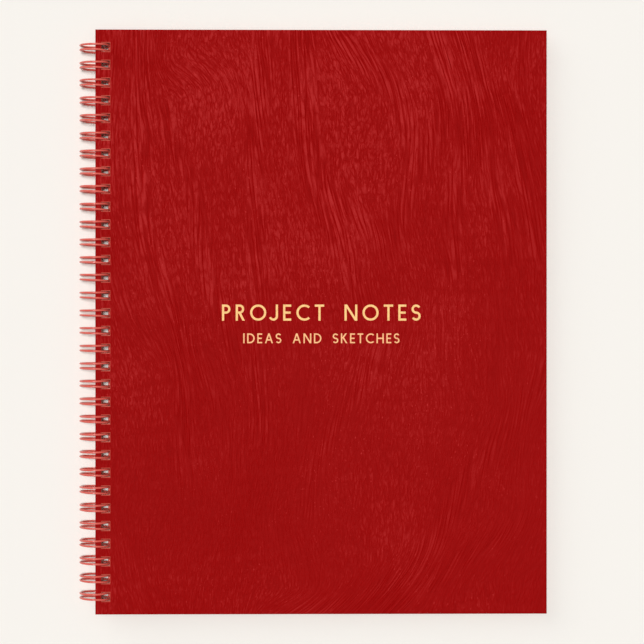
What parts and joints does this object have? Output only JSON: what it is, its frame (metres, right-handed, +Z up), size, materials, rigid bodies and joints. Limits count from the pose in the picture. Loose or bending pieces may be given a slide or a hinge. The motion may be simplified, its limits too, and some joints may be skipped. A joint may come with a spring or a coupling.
{
  "type": "wire-bound notebook",
  "caption": "Twin-loop wire-bound notebook with leather-covered boards; covers and sheets turn about the wire for writing on loose-bound pages.",
  "frame": {"origin": "middle of the bounding box's underside: the table plane the closed notebook lies on", "axes": "+Z up through the front cover, +Y along the spine towards the head, +X from the wire to the fore-edge"},
  "size_m": [0.224, 0.2794, 0.0148],
  "materials": {
    "coated_wire": "coral-red nylon-coated steel wire, semi-gloss",
    "red_leather": "creased full-grain leather, semi-matte",
    "greyboard": "raw grey bookbinding board",
    "endpaper": "uncoated laid paper",
    "page_paper": "uncoated off-white writing paper",
    "gold_foil": "hot-stamped gold foil"
  },
  "bodies": {
    "wire": {"wire_binding": "coated_wire"},
    "back_cover": {"back_cover_leather": "red_leather", "back_cover_board": "greyboard", "back_cover_filler": "greyboard", "back_cover_endpaper": "endpaper"},
    "leaves_46_60": {"sheets_46_50": "page_paper", "sheets_51_55": "page_paper", "sheets_56_60": "page_paper"},
    "leaves_31_45": {"sheets_31_35": "page_paper", "sheets_36_40": "page_paper", "sheets_41_45": "page_paper"},
    "leaves_16_30": {"sheets_16_20": "page_paper", "sheets_21_25": "page_paper", "sheets_26_30": "page_paper"},
    "leaves_01_15": {"sheets_01_05": "page_paper", "sheets_06_10": "page_paper", "sheets_11_15": "page_paper"},
    "front_cover": {"front_cover_leather": "red_leather", "front_cover_board": "greyboard", "front_cover_filler": "greyboard", "front_cover_endpaper": "endpaper", "title_foil": "gold_foil", "subtitle_foil": "gold_foil"}
  },
  "joints": [
    {"name": "back_cover_turn", "type": "hinge", "parent": "wire", "child": "back_cover", "pos_m": [-0.1046, 0, 0.0074], "axis": [0, -1, 0], "range_deg": [-180, 0]},
    {"name": "leaves_46_60_turn", "type": "hinge", "parent": "wire", "child": "leaves_46_60", "pos_m": [-0.1046, 0, 0.0074], "axis": [0, -1, 0], "range_deg": [0, 180]},
    {"name": "leaves_31_45_turn", "type": "hinge", "parent": "leaves_46_60", "child": "leaves_31_45", "pos_m": [-0.1046, 0, 0.0074], "axis": [0, -1, 0], "range_deg": [0, 180]},
    {"name": "leaves_16_30_turn", "type": "hinge", "parent": "leaves_31_45", "child": "leaves_16_30", "pos_m": [-0.1046, 0, 0.0074], "axis": [0, -1, 0], "range_deg": [0, 180]},
    {"name": "leaves_01_15_turn", "type": "hinge", "parent": "leaves_16_30", "child": "leaves_01_15", "pos_m": [-0.1046, 0, 0.0074], "axis": [0, -1, 0], "range_deg": [0, 180]},
    {"name": "front_cover_turn", "type": "hinge", "parent": "leaves_01_15", "child": "front_cover", "pos_m": [-0.1046, 0, 0.0074], "axis": [0, -1, 0], "range_deg": [0, 180]}
  ]
}
